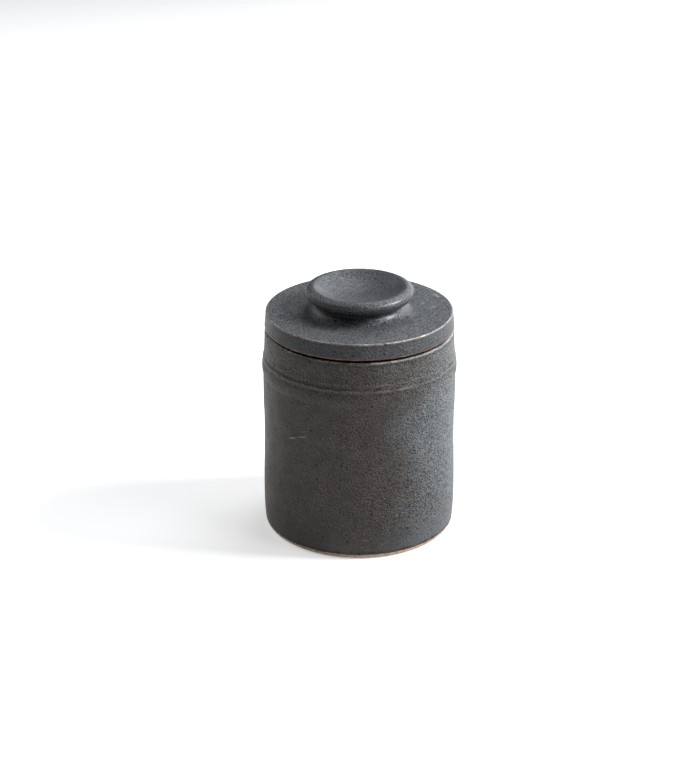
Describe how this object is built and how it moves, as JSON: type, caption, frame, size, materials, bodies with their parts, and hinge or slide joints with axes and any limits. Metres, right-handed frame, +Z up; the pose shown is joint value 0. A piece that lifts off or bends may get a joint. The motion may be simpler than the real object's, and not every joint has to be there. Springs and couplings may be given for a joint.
{
  "type": "butter keeper",
  "caption": "Cylindrical stoneware crock for water with a lift-off lid that carries a dished knob above and an upturned butter bell below.",
  "frame": {"origin": "centre of the foot, on the surface that the crock stands on", "axes": "+Z up along the axis of the crock and the lid; the part is round about +Z, so +X and +Y are free"},
  "size_m": [0.1004, 0.1004, 0.1303],
  "materials": {
    "charcoal_glaze": "satin matte charcoal glaze with brown iron specks and fine pits, bare brown clay on the foot ring"
  },
  "bodies": {
    "crock": {"crock": "charcoal_glaze"},
    "lid": {"lid_plate": "charcoal_glaze", "lid_knob": "charcoal_glaze", "butter_bell": "charcoal_glaze"}
  },
  "joints": [
    {"name": "lid_lift", "type": "slide", "parent": "crock", "child": "lid", "axis": [0, 0, 1], "range_m": [0, 0.09]}
  ]
}
